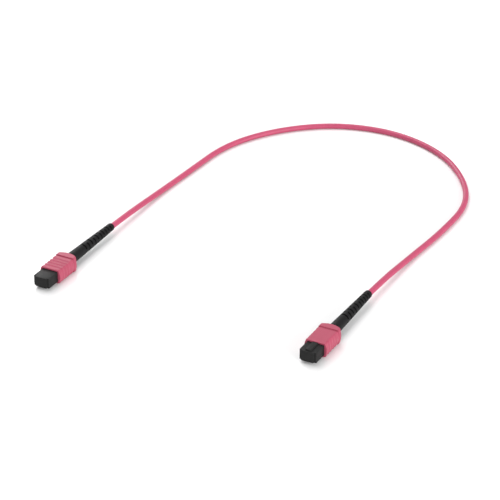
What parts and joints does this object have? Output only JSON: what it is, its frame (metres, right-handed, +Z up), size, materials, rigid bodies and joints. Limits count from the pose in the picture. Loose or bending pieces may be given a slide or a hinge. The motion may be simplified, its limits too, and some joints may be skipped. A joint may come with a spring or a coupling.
{
  "type": "mpo patch cable",
  "caption": "Fibre patch cable: a thin round jacketed lead with a ribbed push-pull plug, a slotted strain-relief boot and a dust cap at each end, lying in an open loop.",
  "frame": {"origin": "on the floor, under the middle of the two plugs from dust cap to boot tip", "axes": "+X from plug a to plug b, +Y from the plugs towards the cable's loop, +Z up from the floor"},
  "size_m": [0.1886, 0.2875, 0.0095],
  "materials": {
    "jacket_plastic": "satin extruded pink",
    "coupling_plastic": "satin moulded pink",
    "cap_plastic": "matt moulded black",
    "frame_plastic": "fine moulded black",
    "ferrule_resin": "filled resin, polished end face",
    "sleeve_rubber": "soft grey",
    "fibre_coating": "clear coated fibre",
    "keeper_steel": "stamped steel",
    "spring_steel": "drawn wire",
    "crimp_metal": "pressed sleeve",
    "boot_rubber": "matt moulded black",
    "yarn_fibre": "loose yellow yarn"
  },
  "bodies": {
    "cable_set": {"plug_frame_a": "frame_plastic", "ferrule_spring_a": "spring_steel", "coupling_springs_a": "spring_steel", "spring_push_a": "frame_plastic", "crimp_ring_a": "crimp_metal", "boot_a": "boot_rubber", "plug_frame_b": "frame_plastic", "ferrule_spring_b": "spring_steel", "coupling_springs_b": "spring_steel", "spring_push_b": "frame_plastic", "crimp_ring_b": "crimp_metal", "boot_b": "boot_rubber", "cable_jacket": "jacket_plastic", "aramid_yarn": "yarn_fibre", "fibre_bundle": "fibre_coating"},
    "dust_cap_a": {"dust_cap_a": "cap_plastic"},
    "coupling_a": {"coupling_a": "coupling_plastic"},
    "ferrule_a": {"ferrule_a": "ferrule_resin", "ferrule_boot_a": "sleeve_rubber", "fibre_array_a": "fibre_coating", "pin_keeper_a": "keeper_steel"},
    "dust_cap_b": {"dust_cap_b": "cap_plastic"},
    "coupling_b": {"coupling_b": "coupling_plastic"},
    "ferrule_b": {"ferrule_b": "ferrule_resin", "ferrule_boot_b": "sleeve_rubber", "fibre_array_b": "fibre_coating", "pin_keeper_b": "keeper_steel"}
  },
  "joints": [
    {"name": "dust_cap_a_pull", "type": "slide", "parent": "cable_set", "child": "dust_cap_a", "axis": [0, -1, 0], "range_m": [0, 0.04]},
    {"name": "coupling_a_slide", "type": "slide", "parent": "cable_set", "child": "coupling_a", "axis": [0, 1, 0], "range_m": [0, 0.0024], "stiffness_N_per_m": 400, "deforming": ["coupling_springs_a"]},
    {"name": "ferrule_a_float", "type": "slide", "parent": "cable_set", "child": "ferrule_a", "axis": [0, 1, 0], "range_m": [0, 0.0008], "stiffness_N_per_m": 800, "deforming": ["ferrule_spring_a"]},
    {"name": "dust_cap_b_pull", "type": "slide", "parent": "cable_set", "child": "dust_cap_b", "axis": [0, -1, 0], "range_m": [0, 0.04]},
    {"name": "coupling_b_slide", "type": "slide", "parent": "cable_set", "child": "coupling_b", "axis": [0, 1, 0], "range_m": [0, 0.0024], "stiffness_N_per_m": 400, "deforming": ["coupling_springs_b"]},
    {"name": "ferrule_b_float", "type": "slide", "parent": "cable_set", "child": "ferrule_b", "axis": [0, 1, 0], "range_m": [0, 0.0008], "stiffness_N_per_m": 800, "deforming": ["ferrule_spring_b"]}
  ]
}
